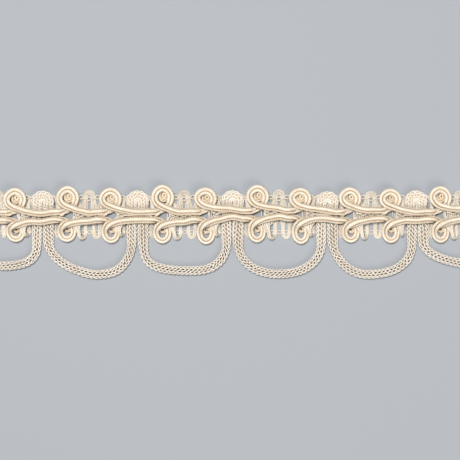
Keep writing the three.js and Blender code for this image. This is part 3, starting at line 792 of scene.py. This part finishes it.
def range_node(tree, value, **limits):
    """A Map Range node fed by a socket. The limits are its inputs, such as from_max for From Max."""
    node = tree.nodes.new("ShaderNodeMapRange")
    for label, limit in limits.items():
        node.inputs[label.replace("_", " ").title()].default_value = limit
    tree.links.new(value, node.inputs["Value"])
    return node.outputs["Result"]


def placed_group(tree, group, **values):
    """A node group placed in a material with its own values. Returns its output."""
    node = tree.nodes.new("ShaderNodeGroup")
    node.node_tree = group
    for label, value in values.items():
        node.inputs[label.title()].default_value = value
    return node.outputs[0]


def wound_thread_group():
    """Thread wound round a strand: a height of |sin(pi (V / pitch + starts U))| from the UV map, where U
    is round the strand and V along it."""
    group, given, result = new_group("wound thread", {"Pitch": 0.3, "Starts": 1.0}, ["Height"])
    u, v = strand_axes(group)
    turns = math_node(group, "MULTIPLY", u, given.outputs["Starts"])
    steps = math_node(group, "DIVIDE", v, given.outputs["Pitch"])
    angle = math_node(group, "MULTIPLY", math_node(group, "ADD", turns, steps), math.pi)
    height = math_node(group, "ABSOLUTE", math_node(group, "SINE", angle))
    group.links.new(height, result.inputs["Height"])
    return group


def soft_mottle_group():
    """Slow changes of tone over the trim: smooth noise on the object's own coordinates."""
    group, given, result = new_group("soft mottle", {"Scale": 200.0}, ["Mask"])
    place = group.nodes.new("ShaderNodeTexCoord")
    noise = group.nodes.new("ShaderNodeTexNoise")
    noise.inputs["Detail"].default_value = 3
    group.links.new(place.outputs["Object"], noise.inputs["Vector"])
    group.links.new(given.outputs["Scale"], noise.inputs["Scale"])
    group.links.new(noise.outputs["Fac"], result.inputs["Mask"])
    return group


def fine_streaks_group():
    """Streaks of tone along a strand: smooth noise on the UV map, with many changes round the strand and
    few along it."""
    group, given, result = new_group("fine streaks", {"Round": 9.0, "Along": 0.35}, ["Mask"])
    u, v = strand_axes(group)
    joined = group.nodes.new("ShaderNodeCombineXYZ")
    group.links.new(math_node(group, "MULTIPLY", u, given.outputs["Round"]), joined.inputs["X"])
    group.links.new(math_node(group, "MULTIPLY", v, given.outputs["Along"]), joined.inputs["Y"])
    noise = group.nodes.new("ShaderNodeTexNoise")
    noise.inputs["Scale"].default_value = 1.0
    noise.inputs["Detail"].default_value = 2
    group.links.new(joined.outputs["Vector"], noise.inputs["Vector"])
    mask = range_node(group, noise.outputs["Fac"], from_min=0.42, from_max=0.72)
    group.links.new(mask, result.inputs["Mask"])
    return group


WOUND_THREAD = wound_thread_group()
FINE_STREAKS = fine_streaks_group()
SOFT_MOTTLE = soft_mottle_group()
MOTTLE_SCALE = 260.0
RELIEF = 0.0001


def yarn_material(
    name, light, deep, roughness, sheen, pitch, starts, bump, shade_attribute=None, shade=0.25, streak=0.3
):
    """A yarn finish: two tones mixed by mottle, by streaks along the yarn, by painted shade in the grooves
    of its winding and, if named, by an attribute of painted shade (between the satin strands, and how pale
    the knit core is), with the winding as bump."""
    material = bpy.data.materials.new(name)
    material.use_nodes = True
    tree = material.node_tree
    shader = tree.nodes["Principled BSDF"]
    shader.inputs["Roughness"].default_value = roughness
    shader.inputs["Specular IOR Level"].default_value = 0.8
    shader.inputs["Sheen Weight"].default_value = sheen
    shader.inputs["Sheen Roughness"].default_value = 0.4
    winding = placed_group(tree, WOUND_THREAD, pitch=pitch, starts=starts)
    mottle = placed_group(tree, SOFT_MOTTLE, scale=MOTTLE_SCALE)
    share = range_node(tree, mottle, from_min=0.35, from_max=0.75, to_max=0.35)
    # The named attribute mixes in the second tone: the painted shade between the satin strands, and the
    # paler parts of the knit core's painted shade.
    if shade_attribute:
        side = tree.nodes.new("ShaderNodeAttribute")
        side.attribute_name = shade_attribute
        share = math_node(tree, "MAXIMUM", share, side.outputs["Fac"])
    # Painted shade: the grooves of the winding are darkened by up to the shade share.
    groove_shade = range_node(tree, winding, from_max=0.6, to_min=shade, to_max=0.0)
    share = math_node(tree, "MAXIMUM", share, groove_shade)
    streaks = math_node(tree, "MULTIPLY", placed_group(tree, FINE_STREAKS), streak)
    share = math_node(tree, "MAXIMUM", share, streaks)
    mix = tree.nodes.new("ShaderNodeMix")
    mix.data_type = "RGBA"
    mix.inputs["A"].default_value = (*light, 1)
    mix.inputs["B"].default_value = (*deep, 1)
    tree.links.new(share, mix.inputs["Factor"])
    tree.links.new(mix.outputs["Result"], shader.inputs["Base Color"])
    relief = tree.nodes.new("ShaderNodeBump")
    relief.inputs["Strength"].default_value = bump
    relief.inputs["Distance"].default_value = RELIEF
    tree.links.new(winding, relief.inputs["Height"])
    tree.links.new(relief.outputs["Normal"], shader.inputs["Normal"])
    return material


def plain_material(name, colour, roughness):
    """A plain finish for the surface that the trim lies on."""
    material = bpy.data.materials.new(name)
    material.use_nodes = True
    shader = material.node_tree.nodes["Principled BSDF"]
    shader.inputs["Base Color"].default_value = (*colour, 1)
    shader.inputs["Roughness"].default_value = roughness
    return material


# The satin's deep tone is also the painted shade between its strands and in the grooves of its winding.
satin = yarn_material(
    "satin strand", light=(0.95, 0.875, 0.735), deep=(0.34, 0.18, 0.05), roughness=0.22, sheen=0.0,
    pitch=0.68, starts=2.0, bump=0.75, shade_attribute="facing_mates", shade=0.45, streak=0.5,
)
knit = yarn_material(
    "knitting yarn", light=(0.9, 0.85, 0.77), deep=(0.45, 0.34, 0.22), roughness=0.25, sheen=0.05,
    pitch=0.5, starts=2.0, bump=0.6,
)
# The knit core is near-black, painted shade for the holes between stitches, and the pale_part attribute
# lightens it towards the second tone.
knit_core_shade = yarn_material(
    "knit core in painted shade", light=(0.04, 0.024, 0.013), deep=(0.6, 0.49, 0.36), roughness=0.95, sheen=0.0,
    pitch=0.5, starts=2.0, bump=0.2, shade_attribute="pale_part",
)
gimp = yarn_material(
    "gimp yarn", light=(0.92, 0.86, 0.755), deep=(0.45, 0.33, 0.2), roughness=0.3, sheen=0.05,
    pitch=0.14, starts=1.0, bump=0.3, streak=0.35,
)
thread = yarn_material(
    "binding thread", light=(0.88, 0.8, 0.68), deep=(0.56, 0.45, 0.31), roughness=0.45, sheen=0.05,
    pitch=0.2, starts=2.0, bump=0.5,
)
eye_thread = yarn_material(
    "thread of the eyes", light=(0.86, 0.73, 0.55), deep=(0.42, 0.27, 0.13), roughness=0.4, sheen=0.0,
    pitch=0.3, starts=2.0, bump=0.5,
)

# The pieces

knitted = knitted_path()
yarn_grid = knitted_yarn(knitted)
cut = (len(yarn_grid) // 2 // STITCH["segments"]) * STITCH["segments"]
make_piece("knitted_cord_left", [yarn_grid[: cut + 1]], "knitted_loop_cord", "knitted_cord", knit)
make_piece("knitted_cord_right", [yarn_grid[cut:]], "knitted_loop_cord", "knitted_cord", knit)
# The core inside the stitches, near-black as painted shade in their holes.
core_grid, pale_part = knitted_core(knitted)
make_piece("knitted_cord_shade_core", [core_grid], None, "knitted_cord", knit_core_shade, pale_part=pale_part)

# Each satin row carries the painted shade between its strands as an attribute.
for row, shape, curls in (("upper", UPPER_SCROLL, UPPER_CURLS), ("lower", LOWER_SCROLL, LOWER_CURLS)):
    strands, facing = satin_strands(scroll_path(shape, curls))
    name, node = f"{row}_satin_strands", f"{row}_scroll_cord"
    make_piece(name, strands, node, "satin_cord", satin, facing_mates=facing)

make_piece("gimp_yarn_ends", gimp_ends(gimp_path()), "gimp_yarn_ground", "gimp_yarn", gimp)

neighbours = ("ab", "bc", "cd", "de", "ef", "fg", "gh")
foot_places = chain_places(neighbours, "foot")
head_places = chain_places(neighbours, "head")
open_places = chain_places(("ab", "cd", "de", "ef", "gh"), "head")

chains = []
for places, level, chain in (
    (foot_places, foot_level, FOOT_CHAIN),
    (head_places, head_level, HEAD_CHAIN),
    (open_places, middle_level, MIDDLE_CHAIN),
):
    chains += sewn_chain(places, level, chain["height"], chain["thread"])
make_piece("binding_chains", chains, None, "gimp_yarn", thread)

eyes = [
    curl_eye(x, before, top, UPPER_EYE, UPPER_EYE["tall"] * (top - before))
    for x, top, before, *_ in UPPER_CURLS
]
eyes += [curl_eye(x, before, low, LOWER_EYE, LOWER_EYE["tall"]) for x, low, before, *_ in LOWER_CURLS]
make_piece("curl_eyes", eyes, None, "gimp_yarn", eye_thread)

make_piece("cross_fibres", cross_fibres(), None, "gimp_yarn", gimp)

# Surface, light and camera

SURFACE_REACH = 1.5
# The camera looks straight down on a strip this wide, in millimetres, at this level above the surface.
VIEW = dict(x=-0.64, y=0.69, wide=147.2, level=3)


def surface():
    """A wide, flat, pale surface just under the trim."""
    mesh = bpy.data.meshes.new("surface")
    corners = [(-1, -1, 0), (1, -1, 0), (1, 1, 0), (-1, 1, 0)]
    mesh.from_pydata([Vector(corner) * SURFACE_REACH for corner in corners], [], [(0, 1, 2, 3)])
    mesh.materials.append(plain_material("pale surface", (0.36, 0.385, 0.42), 0.8))
    piece = bpy.data.objects.new("surface", mesh)
    bpy.context.scene.collection.objects.link(piece)


def soft_light(name, place, size, power):
    """A square soft box that faces the trim."""
    lamp = bpy.data.lights.new(name, "AREA")
    lamp.shape, lamp.size, lamp.energy = "SQUARE", size, power
    lamp.color = (1.0, 0.98, 0.955)
    holder = bpy.data.objects.new(name, lamp)
    holder.location = place
    holder.rotation_euler = (-Vector(place)).to_track_quat("-Z", "Y").to_euler()
    bpy.context.scene.collection.objects.link(holder)


surface()
soft_light("key", (-0.1, 0.18, 0.95), 0.22, 9.2)
soft_light("fill", (0.3, -0.5, 0.75), 0.5, 2.5)

world = bpy.data.worlds.new("studio")
world.use_nodes = True
background = world.node_tree.nodes["Background"]
background.inputs["Color"].default_value = (1.0, 0.975, 0.94, 1)
background.inputs["Strength"].default_value = 0.21
bpy.context.scene.world = world
bpy.context.scene.view_settings.view_transform = "Standard"

camera_data = bpy.data.cameras.new("camera")
camera_data.lens, camera_data.sensor_width = 135, 36
camera_data.clip_start, camera_data.clip_end = 0.01, 10
camera = bpy.data.objects.new("camera", camera_data)
camera_height = VIEW["level"] + VIEW["wide"] * camera_data.lens / camera_data.sensor_width
camera.location = (VIEW["x"] * MM, VIEW["y"] * MM, camera_height * MM)
bpy.context.scene.collection.objects.link(camera)
bpy.context.scene.camera = camera
